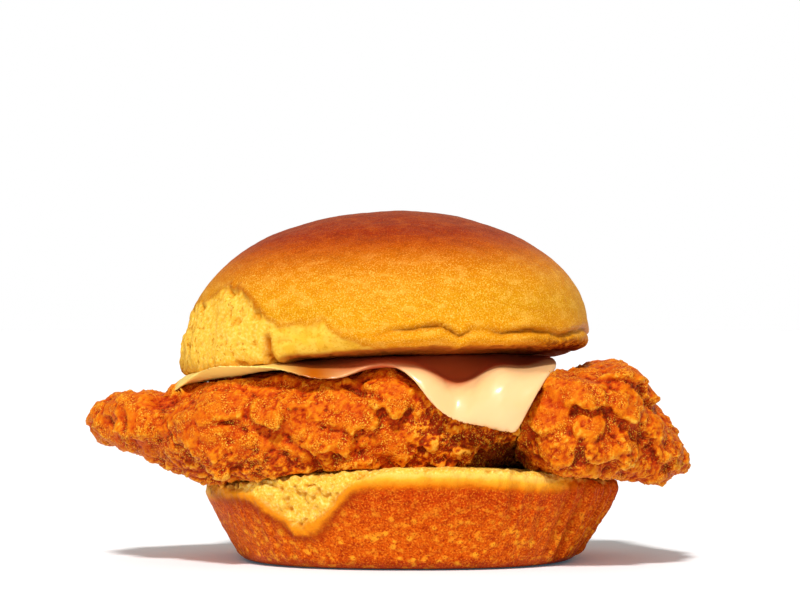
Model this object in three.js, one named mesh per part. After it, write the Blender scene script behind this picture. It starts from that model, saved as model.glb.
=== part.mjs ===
// A fried chicken slider: a pull-apart roll, cut in two, holding two breaded chicken strips
// under a melted cheese slice.
// Millimetres. +Z is up, +X is to the right and -Y is towards whoever looks at the front.
// The origin is the centre of the roll's flat base.

import * as THREE from 'three';
import { mergeVertices } from 'three/addons/utils/BufferGeometryUtils.js';
import { ImprovedNoise } from 'three/addons/math/ImprovedNoise.js';

// Driving dimensions

const GAP = 0.35; // clear space between touching pieces

const ROLL = {
  squareness: 2.25, // exponent of the plan: 2 is round, more is squarer
  around: 60, // steps round the outline
  wander: { amount: 0.45, size: 17, shift: 3.7 }, // slow unevenness of the outline
  wanderFrom: [8, 28], // radii between which it sets in
};

const HEEL = {
  baseRadius: 29.6,
  baseRounding: 2.6,
  rimRadius: 35,
  wallBelly: 3, // how far the wall's middle stands out past the base
  rimRounding: 1.9,
  height: 16.9, // at the middle of the front rim
  sag: 3.5, // how much lower the rim is at the left and right ends
  middle: 2, // x of the highest part of the rim
  dish: 0.7, // hollow pressed into the cut face
  dishFrom: [0.1, 0.6], // shares of the radius, from the rim inwards, where the hollow sets in
  depthShare: 0.97, // front-to-back size over left-to-right size
  wallShare: [0.1, 0.3], // shares of the height between which the base turns into the wall
  ripple: { amount: 0.2, size: 6, shift: 9.1 },
};

// The torn patch at the heel's front left, where the crust came away
const HEEL_TEAR = {
  angle: -122, // degrees round from +X
  halfWidth: 19, // degrees
  fullWidth: 12, // degrees from its middle where it starts to fade
  depth: 8.2,
  recess: 0.9,
  edge: [-0.6, 0.8], // heights over its lower edge between which the crust ends
};

const CROWN = {
  centreX: -3.4,
  radius: 34.6,
  cutRadius: 32,
  shoulder: 4.6, // height of the widest ring above the cut face
  height: 25.4,
  pitch: -2.2, // degrees: the front edge is lifted
  roll: -1.9, // degrees: the right edge is lifted
  frontCutZ: 35.5, // height of the cut face at the middle of the front edge
  depthShare: 0.965,
  underEdge: 0.6, // the cut face ends this far inside its own radius
  dents: { amount: 0.5, size: 22, shift: 6.4 },
  dentsFrom: [6, 14], // heights between which they set in
  outerFrom: [22, 30], // radii between which the tear and the lip set in
};

// The left side of the crown, pulled off the neighbouring roll
const CROWN_TEAR = {
  angle: -166, // degrees round from +X
  halfWidth: 50, // degrees
  fade: [0.35, 1], // shares of the half width between which it ends
  bulge: 3,
  bulgeHeight: 9,
  sag: 1.5, // how far the pulled crumb hangs below the cut face
  sagFrom: [27, 33], // radii between which it starts to hang
  recess: 0.7,
  crumbs: { amount: 0.5, size: 4, shift: 1.3 },
};

// The crust's torn edge round the crown, as [degrees round from +X, height above the cut face].
// Left of about -124 degrees it borders the tear, and to the right a strip of bare crumb.
const CRUST_EDGE = [
  [-216, -1.5],
  [-206, 5],
  [-192, 8.6],
  [-180, 9.8],
  [-168, 9.9],
  [-156, 10.2],
  [-150, 11.2],
  [-143, 12.4],
  [-136, 11.2],
  [-131, 9.4],
  [-126, 7.3],
  [-122, 5.2],
  [-118, 4.9],
  [-108, 5.5],
  [-105, 4.1],
  [-102, 2.4],
  [-98, 1.4],
  [-92, 0.6],
  [-86, -0.6],
  [-80, -1.5],
];
const BARE_STRIP = { recess: 1, edge: 0.5, leastHeight: 2 };

// The plane between the two strips, by three points on it
const PARTING = new THREE.Plane().setFromCoplanarPoints(
  new THREE.Vector3(17.9, -32.5, 22.5),
  new THREE.Vector3(27.5, -2, 32.5),
  new THREE.Vector3(22.6, -31, 31),
);

// Each station of a strip is [x, front y, back y, bottom z, top z]
const LEFT_STRIP = {
  stations: [
    [-55.4, -13, 5, 18.6, 28.4],
    [-52.4, -14.2, 7.6, 18.2, 28.6],
    [-49.6, -15.4, 10, 18.2, 30.2],
    [-43, -20, 14, 15.8, 29.2],
    [-34, -26, 18, 13, 32.4],
    [-20, -29.6, 22, 12.4, 34],
    [-4, -30.4, 24, 13.6, 35],
    [9, -29.8, 25, 14, 33],
    [18, -28.4, 26, 15.5, 34],
    [31, -20, 24, 17, 33],
  ],
  bluntness: 4,
  roundness: 3,
  around: 60,
  rings: 38,
  flakes: { rows: 11, columns: 15, lift: 1.5, tilt: 0.2, seed: 5 },
  lumps: [{ centre: new THREE.Vector3(-50, -6, 30), size: 3, rise: 1.2 }],
};

const RIGHT_STRIP = {
  stations: [
    [17.2, -32, 18, 13.6, 26.5],
    [22, -33, 20, 13.2, 32.4],
    [27, -32.6, 22, 12.8, 33.6],
    [32, -31.2, 22, 12.4, 34.2],
    [36.4, -29, 20, 12.4, 35.2],
    [40.4, -26.5, 15, 12.6, 28.4],
    [44.4, -24, 10, 13, 24],
    [48.2, -20, 4, 14, 20],
  ],
  bluntness: 3,
  roundness: 3.6,
  around: 46,
  rings: 26,
  flakes: { rows: 8, columns: 13, lift: 1.6, tilt: 0.22, seed: 23 },
  lumps: [
    { centre: new THREE.Vector3(40, -10, 30), size: 4, rise: 2.4 },
    { centre: new THREE.Vector3(41, -14, 26), size: 2.4, rise: -2 },
  ],
};

const CHEESE = {
  thickness: 1.65,
  leftX: -39.2, // at the front
  rightX: 24.6, // at most
  leftCut: 13, // how much further right the left edge is at the back
  backY: 20,
  shoulderRadius: 4.2, // of the underside, where it turns down over the strip
  backFall: 0.014, // droop behind the middle, per square millimetre
  topSlope: 0.13, // it rises behind its front shoulder
  topRise: 4.5, // until it has risen by this much, or lies against the crown
  bends: [0.4, 0.3], // how softly it turns there, and against the crown
  stripRise: 1.5, // how fast the strip may rise again, left of the slice
  stripBulge: 3.5, // how far below the slice's edge the strip reaches its full depth
  columns: 32,
  rows: 16,
  edgeTaper: 0.42, // edge thickness over full thickness
  leftWave: { amount: 0.9, rate: 5, start: 0.6 }, // of the left edge
  ripple: { amount: 0.35, length: 3.1, from: [0.7, 0.95] }, // of the part that hangs in front
};

// How the breading's plates are scattered, and how their edges and faces are roughened
const FLAKES = {
  jitterAlong: 0.8,
  jitterRound: 0.7,
  sunk: 0.55, // share of the plates that lie below the smooth strip
  edgeAcross: { amount: 1.4, size: 3.5, shift: 4.2 },
  edgeUp: { amount: 1.4, size: 3.5, shift: 8.4 },
  grain: { amount: 0.4, size: 2.6, shift: 5.5 },
  endFade: [1, 5], // distances from a strip's middle line between which the relief sets in
};

// Height of the cheese's underside along its front shoulder, as [x, height]
const CHEESE_TOP = [
  [-43, 26.5],
  [-39, 29.2],
  [-36, 31.1],
  [-32, 32.3],
  [-27, 32.6],
  [-21, 32.3],
  [-15, 31.4],
  [-10, 32.2],
  [-6, 33.2],
  [-2, 33.2],
  [2, 32],
  [8, 28.6],
  [14, 31.5],
  [19, 30.7],
  [29, 32.4],
];

// Height of its front edge, as [x, height]
const CHEESE_EDGE = [
  [-43, 26],
  [-39, 28.6],
  [-36, 30.6],
  [-32, 32],
  [-27, 32.3],
  [-21, 31.9],
  [-15, 30.3],
  [-11, 30.9],
  [-8, 32.2],
  [-5, 32.9],
  [-2, 32.6],
  [1, 30.3],
  [3.6, 27.2],
  [6, 25.2],
  [9, 24.1],
  [14, 23.6],
  [18, 22.3],
  [29, 20],
];

// How far forward its underside reaches, as [x, y]
const CHEESE_FRONT = [
  [-43, -11],
  [-39, -16],
  [-36, -20.5],
  [-32, -25.5],
  [-26, -29.4],
  [-20, -30.8],
  [-12, -31.2],
  [29, -31.2],
];

const LOOKS = {
  heel: { color: 0xd9641f, roughness: 0.7 },
  crown: { color: 0xe79c3c, roughness: 0.45 },
  breading: { color: 0xd97a1a, roughness: 0.8 },
  cheese: { color: 0xfbe2aa, roughness: 0.35 },
};

// Small tools

const perlin = new ImprovedNoise();
const radians = THREE.MathUtils.degToRad;
const { smoothstep, clamp, seededRandom } = THREE.MathUtils;

// Slow noise of up to the amount either way, with one bump about every size millimetres.
function unevenness(point, { amount, size, shift }) {
  return amount * perlin.noise(point.x / size + shift, point.y / size - shift, point.z / size + 2 * shift);
}

// From 0 to 1 as a value goes from the first of two limits to the second.
function ramp(value, [from, to]) {
  return smoothstep(value, from, to);
}

// The lower of two values, rounded off over the blend where they meet.
function softMin(value, limit, blend = 0.25) {
  const share = (limit - value) / blend;
  return share < -30 ? limit : share > 30 ? value : limit - blend * Math.log(1 + Math.exp(share));
}

// The higher of two values, rounded off in the same way.
function softMax(value, limit, blend = 0.25) {
  return -softMin(-value, -limit, blend);
}

// A smooth curve through rows of numbers; the first of each row is the place along it.
function through(rows) {
  const places = rows.map((row) => row[0]);
  const values = rows.flatMap((row) => row.slice(1));
  const curve = new THREE.CubicInterpolant(places, values, rows[0].length - 1);
  return (place) => curve.evaluate(clamp(place, places[0], places.at(-1)));
}

// Degrees from one direction to another, from -180 to 180.
function turnBetween(from, to) {
  return THREE.MathUtils.euclideanModulo(to - from + 180, 360) - 180;
}

// One closed body from a three.js geometry, with every vertex put in place by a function.
function closedBody(geometry, place) {
  geometry.deleteAttribute('normal');
  geometry.deleteAttribute('uv');
  const body = mergeVertices(geometry, 1e-3);
  const positions = body.getAttribute('position');
  const point = new THREE.Vector3();
  for (let i = 0; i < positions.count; i++) {
    place(point.fromBufferAttribute(positions, i));
    positions.setXYZ(i, point.x, point.y, point.z);
  }
  body.computeVertexNormals();
  return body;
}

// Quarter of an ellipse from one angle to another, as profile points round a centre.
function profileArc(centre, radiusOut, radiusUp, fromDegrees, toDegrees, steps) {
  return Array.from({ length: steps + 1 }, (_, i) => {
    const angle = radians(THREE.MathUtils.lerp(fromDegrees, toDegrees, i / steps));
    return new THREE.Vector2(centre.x + radiusOut * Math.cos(angle), centre.y + radiusUp * Math.sin(angle));
  });
}

// The roll's plan: how far the outline stands out in a direction, next to a circle's 1.
function planShare(angle, depthShare) {
  const power = ROLL.squareness;
  const across = Math.abs(Math.cos(angle)) ** power;
  const deep = Math.abs(Math.sin(angle) / depthShare) ** power;
  return (across + deep) ** (-1 / power);
}

// A turned profile with the roll's uneven plan. The shape function may still move each point.
function rollBody(profile, depthShare, shape) {
  const turned = new THREE.LatheGeometry(profile, ROLL.around).rotateX(Math.PI / 2);
  return closedBody(turned, (point) => {
    const radius = Math.hypot(point.x, point.y);
    const angle = Math.atan2(point.y, point.x);
    const wander = unevenness(point, ROLL.wander) * ramp(radius, ROLL.wanderFrom);
    const out = radius * planShare(angle, depthShare) + wander;
    shape(point, angle, out);
  });
}

// Heel: the lower half of the roll

// Height of the heel's cut face.
function heelTop(x, y) {
  const across = (x - HEEL.middle) / HEEL.rimRadius;
  const inward = 1 - clamp(Math.hypot(x, y) / HEEL.rimRadius, 0, 1);
  return HEEL.height - HEEL.sag * across * across - HEEL.dish * ramp(inward, HEEL.dishFrom);
}

function heelProfile() {
  const { baseRadius, baseRounding, rimRadius, rimRounding, wallBelly, height } = HEEL;
  const flatRadius = baseRadius - baseRounding;
  const base = [0, 0.5, 1].map((share) => new THREE.Vector2(share * flatRadius, 0));
  const footCentre = new THREE.Vector2(flatRadius, baseRounding);
  const foot = profileArc(footCentre, baseRounding, baseRounding, -60, -15, 2);
  const wallFrom = foot.at(-1);
  const wallTo = new THREE.Vector2(rimRadius, height - rimRounding);
  const flare = new THREE.QuadraticBezierCurve(
    wallFrom,
    new THREE.Vector2(baseRadius + wallBelly, height * 0.5),
    wallTo,
  );
  const wall = flare.getPoints(6).slice(1, -1);
  const rimCentre = new THREE.Vector2(rimRadius - rimRounding, height - rimRounding);
  const rim = profileArc(rimCentre, rimRounding, rimRounding, 0, 90, 3);
  const cut = [0.8, 0.5, 0.24, 0].map((share) => new THREE.Vector2(share * rimCentre.x, height));
  return [...base, ...foot, ...wall, ...rim, ...cut];
}

// How far a point lies inside the heel's torn patch, from 0 to 1: a V below the rim.
function heelTear(angle, z) {
  const aside = Math.abs(turnBetween(HEEL_TEAR.angle, THREE.MathUtils.radToDeg(angle)));
  const bottom = HEEL.height - HEEL_TEAR.depth * (1 - aside / HEEL_TEAR.halfWidth);
  return ramp(z - bottom, HEEL_TEAR.edge) * (1 - ramp(aside, [HEEL_TEAR.fullWidth, HEEL_TEAR.halfWidth]));
}

function heelBody() {
  return rollBody(heelProfile(), HEEL.depthShare, (point, angle, out) => {
    const share = point.z / HEEL.height;
    const onWall = ramp(share, HEEL.wallShare);
    const crumbled = out - HEEL_TEAR.recess * heelTear(angle, point.z) * onWall;
    point.x = crumbled * Math.cos(angle);
    point.y = crumbled * Math.sin(angle);
    point.z = share * heelTop(point.x, point.y) + onWall * unevenness(point, HEEL.ripple);
  });
}

// Crown: the upper half of the roll, tilted back and up to the right

const crownFrame = new THREE.Object3D();
crownFrame.rotation.set(radians(CROWN.pitch), radians(CROWN.roll), 0);
crownFrame.position.set(CROWN.centreX, 0, 0);
crownFrame.updateMatrix();

const crownNormal = new THREE.Vector3(0, 0, 1).transformDirection(crownFrame.matrix);
const crownFront = new THREE.Vector3(0, -CROWN.cutRadius, 0).applyMatrix4(crownFrame.matrix);
crownFrame.position.z = CROWN.frontCutZ - crownFront.z;
crownFrame.updateMatrix();

// How far a direction lies inside the crown's torn side, from 0 to 1.
function tornSide(angle) {
  const aside = turnBetween(CROWN_TEAR.angle, THREE.MathUtils.radToDeg(angle)) / CROWN_TEAR.halfWidth;
  return 1 - ramp(Math.abs(aside), CROWN_TEAR.fade);
}

// How far the pulled crumb hangs below the cut face.
function crumbHang(angle, out) {
  return CROWN_TEAR.sag * tornSide(angle) * ramp(out, CROWN_TEAR.sagFrom);
}

// Height of the crown's underside over a place.
function crownUnder(x, y) {
  const right = x - crownFrame.position.x;
  const cut = crownFrame.position.z - (crownNormal.x * right + crownNormal.y * y) / crownNormal.z;
  return cut - crumbHang(Math.atan2(y, right), Math.hypot(right, y));
}

function crownProfile() {
  const { radius, cutRadius, shoulder, height, underEdge } = CROWN;
  const cut = [0, 0.27, 0.52, 0.76, 1].map((share) => new THREE.Vector2(share * (cutRadius - underEdge), 0));
  const edge = profileArc(new THREE.Vector2(cutRadius, shoulder), radius - cutRadius, shoulder, -75, 0, 5);
  const dome = profileArc(new THREE.Vector2(0, shoulder), radius, height - shoulder, 9, 90, 11);
  return [...cut, ...edge, ...dome];
}

// Height of the crust's torn lower edge above the cut face, in a direction: 0 where the crust is whole.
const crustRow = through(CRUST_EDGE);
function crustEdge(angle) {
  const start = CRUST_EDGE[0][0];
  const turn = THREE.MathUtils.euclideanModulo(THREE.MathUtils.radToDeg(angle) - start, 360);
  return Math.max(crustRow(start + turn)[0], 0);
}

function crownBody() {
  return rollBody(crownProfile(), CROWN.depthShare, (point, angle, out) => {
    const outer = ramp(out, CROWN.outerFrom);
    const low = clamp(1 - point.z / CROWN_TEAR.bulgeHeight, 0, 1);
    const torn = tornSide(angle);
    const bulge = CROWN_TEAR.bulge * torn * low;
    const edge = crustEdge(angle);
    const below = ramp(edge - point.z, [-BARE_STRIP.edge, BARE_STRIP.edge]);
    const bare = below * ramp(edge, [0, BARE_STRIP.leastHeight]);
    const recess = THREE.MathUtils.lerp(BARE_STRIP.recess, CROWN_TEAR.recess, torn) * bare;
    const rough = bare * unevenness(point, CROWN_TEAR.crumbs);
    const reach = out + outer * (bulge - recess + rough);
    const dent = unevenness(point, CROWN.dents) * ramp(point.z, CROWN.dentsFrom);
    const rise = point.z + dent - low * crumbHang(angle, out);
    point.set(reach * Math.cos(angle), reach * Math.sin(angle), rise);
    point.applyMatrix4(crownFrame.matrix);
  });
}

// Cheese: a slice draped over the strips

const cheeseTop = through(CHEESE_TOP);
const cheeseEdge = through(CHEESE_EDGE);
const cheeseFront = through(CHEESE_FRONT);

// Where the underside turns down: the centre of its shoulder arc at a place along x.
function cheeseShoulder(x) {
  const radius = CHEESE.shoulderRadius;
  return { y: cheeseFront(x)[0] + radius, z: cheeseTop(x)[0] - radius };
}

// Height of the underside behind its shoulder: it rises to the crown and droops at the back.
function cheeseUnderTop(x, y) {
  const behind = Math.max(0, y - cheeseShoulder(x).y);
  const past = Math.max(0, y);
  const free = cheeseTop(x)[0] + softMin(CHEESE.topSlope * behind, CHEESE.topRise, CHEESE.bends[0]);
  const held = softMin(free, crownUnder(x, y) - GAP - CHEESE.thickness, CHEESE.bends[1]);
  return held - CHEESE.backFall * past * past;
}

// The slice's underside and its outward direction, at x and at a share of the way from back to front.
function cheeseUnder(x, share) {
  const { shoulderRadius: radius, backY } = CHEESE;
  const shoulder = cheeseShoulder(x);
  const edgeRise = cheeseEdge(x)[0] - shoulder.z;
  const turn = edgeRise > 0 ? Math.acos(Math.min(1, edgeRise / radius)) : Math.PI / 2;
  const lengths = [backY - shoulder.y, radius * turn, Math.max(0, -edgeRise)];
  let along = share * (lengths[0] + lengths[1] + lengths[2]);
  if (along <= lengths[0]) {
    const y = backY - along;
    return { y, z: cheeseUnderTop(x, y), out: new THREE.Vector3(0, 0, 1) };
  }
  along -= lengths[0];
  const angle = Math.min(along / radius, turn);
  const out = new THREE.Vector3(0, -Math.sin(angle), Math.cos(angle));
  const drop = Math.max(0, along - lengths[1]);
  return { y: shoulder.y + radius * out.y, z: shoulder.z + radius * out.z - drop, out };
}

// The slice's right edge follows the parting plane, so x there is found by stepping towards it.
function cheeseRightX(share) {
  let x = 20;
  for (let step = 0; step < 6; step++) {
    const { y, z, out } = cheeseUnder(x, share);
    const middle = new THREE.Vector3(x, y, z).addScaledVector(out, CHEESE.thickness / 2);
    x += (-PARTING.distanceToPoint(middle) - GAP * 2) / PARTING.normal.x;
  }
  return softMin(x, CHEESE.rightX);
}

function cheeseVertex(column, row, side) {
  const { columns, rows, thickness, leftWave, ripple } = CHEESE;
  const share = row / rows;
  const wave = leftWave.amount * Math.sin(leftWave.rate * share + leftWave.start);
  const left = CHEESE.leftX + wave + CHEESE.leftCut * (1 - share) ** 1.5;
  const x = THREE.MathUtils.lerp(left, cheeseRightX(share), column / columns);
  const { y, z, out } = cheeseUnder(x, share);
  const fromEdge = Math.min(column, columns - column, row, rows - row);
  const full = fromEdge > 0 ? 1 : CHEESE.edgeTaper;
  const lift = (thickness / 2) * (1 + side * full);
  const swell = ripple.amount * Math.sin(x / ripple.length) * ramp(share, ripple.from);
  return new THREE.Vector3(x, y, z).addScaledVector(out, lift + Math.max(0, swell));
}

// Two like grids, the upper and the lower face, joined by a strip round the rim.
function cheeseBody() {
  const { columns, rows } = CHEESE;
  const lower = (columns + 1) * (rows + 1);
  const at = (column, row, side) => (side > 0 ? 0 : lower) + row * (columns + 1) + column;
  const points = [];
  for (const side of [1, -1])
    for (let row = 0; row <= rows; row++)
      for (let column = 0; column <= columns; column++) points.push(cheeseVertex(column, row, side));
  const faces = [];
  for (let row = 0; row < rows; row++)
    for (let column = 0; column < columns; column++) {
      const corner = (side, right, ahead) => at(column + right, row + ahead, side);
      faces.push(corner(1, 0, 0), corner(1, 0, 1), corner(1, 1, 0));
      faces.push(corner(1, 1, 0), corner(1, 0, 1), corner(1, 1, 1));
      faces.push(corner(-1, 0, 0), corner(-1, 1, 0), corner(-1, 0, 1));
      faces.push(corner(-1, 1, 0), corner(-1, 1, 1), corner(-1, 0, 1));
    }
  const rim = [];
  for (let column = 0; column < columns; column++) rim.push([column, 0]);
  for (let row = 0; row < rows; row++) rim.push([columns, row]);
  for (let column = columns; column > 0; column--) rim.push([column, rows]);
  for (let row = rows; row > 0; row--) rim.push([0, row]);
  rim.forEach(([column, row], i) => {
    const [nextColumn, nextRow] = rim[(i + 1) % rim.length];
    const corners = [at(column, row, 1), at(nextColumn, nextRow, 1)];
    const under = [at(column, row, -1), at(nextColumn, nextRow, -1)];
    faces.push(corners[0], corners[1], under[0], corners[1], under[1], under[0]);
  });
  const body = new THREE.BufferGeometry().setFromPoints(points).setIndex(faces);
  body.computeVertexNormals();
  return body;
}

// Chicken strips

// Breading flakes: plates scattered over a strip, each lifted and tilted in its own way.
function flakePlates({ rows, columns, lift, tilt, seed }, surface) {
  seededRandom(seed);
  const plates = [];
  for (let row = 0; row < rows; row++)
    for (let column = 0; column < columns; column++) {
      const along = (row + 0.5 + FLAKES.jitterAlong * (seededRandom() - 0.5)) / rows;
      const round = (column + (row % 2) / 2 + FLAKES.jitterRound * (seededRandom() - 0.5)) / columns;
      const lean = new THREE.Vector3(seededRandom() - 0.5, seededRandom() - 0.5, seededRandom() - 0.75);
      lean.multiplyScalar(2 * tilt);
      const rise = lift * (seededRandom() - FLAKES.sunk);
      plates.push({ centre: surface(along, round * 2 * Math.PI), rise, lean });
    }
  return plates;
}

// How far the breading stands out of the smooth strip at a point: the nearest plate's own slope.
function flakeRelief(plates, point) {
  const wavy = point.clone();
  wavy.x += unevenness(point, FLAKES.edgeAcross);
  wavy.z += unevenness(point, FLAKES.edgeUp);
  let nearest = plates[0];
  let distance = Infinity;
  for (const plate of plates) {
    const apart = plate.centre.distanceToSquared(wavy);
    if (apart < distance) [nearest, distance] = [plate, apart];
  }
  const slope = nearest.lean.dot(point.clone().sub(nearest.centre));
  return nearest.rise + slope + unevenness(point, FLAKES.grain);
}

// How far the strip's large lumps and hollows stand out at a point.
function lumpRelief(lumps, point) {
  return lumps.reduce((sum, lump) => {
    const apart = lump.centre.distanceTo(point) / lump.size;
    return sum + lump.rise * Math.exp(-apart * apart);
  }, 0);
}

// The smooth strip: rounded sections along x, closed by blunt ends.
function stripSurface({ stations, bluntness, roundness }) {
  const section = through(stations);
  const [start, end] = [stations[0][0], stations.at(-1)[0]];
  const rounded = (value) => Math.sign(value) * Math.abs(value) ** (2 / roundness);
  return (along, angle) => {
    const x = THREE.MathUtils.lerp(start, end, along);
    const [front, back, bottom, top] = section(x);
    const size = (1 - Math.abs(2 * along - 1) ** bluntness) ** (1 / bluntness);
    const y = (front + back) / 2 + (size * (back - front) * rounded(Math.cos(angle))) / 2;
    const z = (bottom + top) / 2 + (size * (top - bottom) * rounded(Math.sin(angle))) / 2;
    return new THREE.Vector3(x, y, z);
  };
}

function stripBody(strip, settle) {
  const surface = stripSurface(strip);
  const plates = flakePlates(strip.flakes, surface);
  const ball = new THREE.SphereGeometry(1, strip.around, strip.rings).rotateZ(Math.PI / 2);
  return closedBody(ball, (point) => {
    const along = Math.acos(clamp(-point.x, -1, 1)) / Math.PI;
    const angle = Math.atan2(point.z, point.y);
    const spread = 0.5 * along + 0.25 * (1 - Math.cos(Math.PI * along));
    const smooth = surface(spread, angle);
    const [middle, opposite] = [smooth.clone(), surface(spread, angle + Math.PI)];
    middle.add(opposite).multiplyScalar(0.5);
    const outward = smooth.clone().sub(middle);
    const relief = flakeRelief(plates, smooth) + lumpRelief(strip.lumps, smooth);
    const reach = outward.length();
    if (reach > 0) smooth.addScaledVector(outward, (relief * ramp(reach, FLAKES.endFade)) / reach);
    point.copy(settle(smooth));
  });
}

// A strip lies on the heel, stays under the crown and keeps to its own side of the parting plane.
function settleOnHeel(point, side) {
  point.z = softMax(point.z, heelTop(point.x, point.y) + GAP);
  point.z = softMin(point.z, crownUnder(point.x, point.y) - GAP);
  const reach = PARTING.distanceToPoint(point) * side;
  return point.addScaledVector(PARTING.normal, side * (softMax(reach, GAP) - reach));
}

// The left strip also stays inside the cheese that hangs over it. It is free to the left of the slice,
// and below the slice's front edge.
function tuckUnderCheese(point) {
  const shoulder = cheeseShoulder(point.x);
  const ahead = Math.max(0, shoulder.y - point.y);
  const free = CHEESE.stripRise * Math.max(0, CHEESE.leftX - point.x);
  const ceiling = cheeseUnderTop(point.x, point.y) - CHEESE.shoulderRadius + free;
  const above = Math.max(0, point.z - ceiling);
  const reach = Math.hypot(ahead, above);
  const allowed = softMin(reach, CHEESE.shoulderRadius - GAP);
  const edge = cheeseEdge(point.x)[0] + free;
  const held = ramp(point.z, [edge - CHEESE.stripBulge, edge - GAP]);
  if (reach > 0) {
    point.y += held * ahead * (1 - allowed / reach);
    point.z -= above * (1 - allowed / reach);
  }
  return point;
}

// The sandwich

function piece(name, geometry, look) {
  const material = new THREE.MeshStandardMaterial({ ...look, metalness: 0 });
  const mesh = new THREE.Mesh(geometry, material);
  mesh.name = name;
  return mesh;
}

const slider = new THREE.Group();
const leftStrip = stripBody(LEFT_STRIP, (point) => settleOnHeel(tuckUnderCheese(point), -1));
const rightStrip = stripBody(RIGHT_STRIP, (point) => settleOnHeel(point, 1));
slider.add(
  piece('bun_heel', heelBody(), LOOKS.heel),
  piece('bun_crown', crownBody(), LOOKS.crown),
  piece('chicken_strip_left', leftStrip, LOOKS.breading),
  piece('chicken_strip_right', rightStrip, LOOKS.breading),
  piece('cheese_slice', cheeseBody(), LOOKS.cheese),
);

export default slider;
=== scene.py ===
"""The looks of a fried chicken slider: a torn roll, two breaded strips and a melted cheese slice.

Shapes are worked in millimetres and written to the meshes in metres. +Z is up, -Y is the front.
"""

import itertools
import math
from dataclasses import dataclass

import bmesh
import bpy
import numpy as np
from mathutils import Matrix, Vector
from mathutils.bvhtree import BVHTree


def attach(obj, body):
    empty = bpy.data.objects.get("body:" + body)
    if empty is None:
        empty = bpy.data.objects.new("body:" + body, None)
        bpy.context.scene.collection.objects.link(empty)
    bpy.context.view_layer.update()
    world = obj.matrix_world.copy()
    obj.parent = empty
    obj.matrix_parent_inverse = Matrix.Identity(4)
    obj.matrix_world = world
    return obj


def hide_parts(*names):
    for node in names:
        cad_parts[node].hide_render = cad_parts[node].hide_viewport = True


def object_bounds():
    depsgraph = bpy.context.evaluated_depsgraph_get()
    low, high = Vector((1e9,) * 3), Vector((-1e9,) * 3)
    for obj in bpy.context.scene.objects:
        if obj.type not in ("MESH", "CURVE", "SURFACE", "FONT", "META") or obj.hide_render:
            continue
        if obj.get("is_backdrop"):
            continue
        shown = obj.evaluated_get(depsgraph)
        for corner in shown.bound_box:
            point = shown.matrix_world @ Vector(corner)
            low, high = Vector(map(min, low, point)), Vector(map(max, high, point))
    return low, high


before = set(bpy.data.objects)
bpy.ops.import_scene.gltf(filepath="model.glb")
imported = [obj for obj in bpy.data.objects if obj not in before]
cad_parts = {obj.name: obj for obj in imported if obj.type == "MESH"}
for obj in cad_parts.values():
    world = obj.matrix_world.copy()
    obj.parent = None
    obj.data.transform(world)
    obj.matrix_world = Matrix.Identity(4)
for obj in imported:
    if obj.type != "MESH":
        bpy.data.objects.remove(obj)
cad_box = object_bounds()

MM = 0.001


# Noise

GRADIENTS = np.random.default_rng(7).normal(size=(256, 3))
GRADIENTS /= np.linalg.norm(GRADIENTS, axis=1, keepdims=True)


def scramble(places, seed):
    """A number from 0 to 255 for each row of whole numbers."""
    x, y, z = places.T
    mixed = x * 73856093 ^ y * 19349663 ^ z * 83492791 ^ (seed * 40503 + 977)
    mixed = (mixed ^ (mixed >> 13)) * 1274126177
    return (mixed ^ (mixed >> 16)) & 255


def waves(points, size, seed):
    """Smooth noise from about -1 to 1, with one bump about every size millimetres; a seed picks it."""
    spots = points / size
    corner = np.floor(spots).astype(np.int64)
    part = spots - corner
    ease = part**3 * (part * (6 * part - 15) + 10)
    total = np.zeros(len(points))
    for step in itertools.product((0, 1), repeat=3):
        weight = np.prod(np.where(step, ease, 1 - ease), axis=1)
        gradient = GRADIENTS[scramble(corner + step, seed)]
        total += weight * np.einsum("ij,ij->i", gradient, part - step)
    return 1.6 * total


def dot_distance(points, size, seed):
    """Distance to the nearest of scattered dots, one dot per cube of the size, in cubes."""
    spots = points / size
    cube = np.floor(spots).astype(np.int64)
    nearest = np.full(len(points), np.inf)
    for step in itertools.product((-1, 0, 1), repeat=3):
        place = cube + step
        dot = place + np.stack([scramble(place, seed + axis) for axis in range(3)], axis=1) / 255
        nearest = np.minimum(nearest, np.linalg.norm(spots - dot, axis=1))
    return nearest


def ramp(values, low, high):
    """From 0 at low to 1 at high, eased at both ends."""
    share = np.clip((values - low) / (high - low), 0, 1)
    return share * share * (3 - 2 * share)


def bell(values, width):
    """1 where the values are 0, falling away over the width on both sides."""
    return np.exp(-((values / width) ** 2))


# Meshes


def linked(name, mesh):
    piece = bpy.data.objects.new(name, mesh)
    bpy.context.scene.collection.objects.link(piece)
    return piece


def applied(name, mesh, kind, **settings):
    """A new mesh: the given one after a modifier."""
    holder = linked(name, mesh)
    modifier = holder.modifiers.new(kind, kind)
    for key, value in settings.items():
        setattr(modifier, key, value)
    graph = bpy.context.evaluated_depsgraph_get()
    result = bpy.data.meshes.new_from_object(holder.evaluated_get(graph))
    bpy.data.objects.remove(holder)
    bpy.data.meshes.remove(mesh)
    result.name = name
    return result


def rounded_solid(node, levels):
    """A copy of a solid's mesh with its points joined up and its facets rounded."""
    work = bmesh.new()
    work.from_mesh(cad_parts[node].data)
    bmesh.ops.remove_doubles(work, verts=work.verts, dist=0.01 * MM)
    mesh = bpy.data.meshes.new(node)
    work.to_mesh(mesh)
    work.free()
    return applied(node, mesh, "SUBSURF", levels=levels)


def remeshed(mesh, voxel):
    return applied(mesh.name, mesh, "REMESH", mode="VOXEL", voxel_size=voxel * MM, use_smooth_shade=True)


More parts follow.
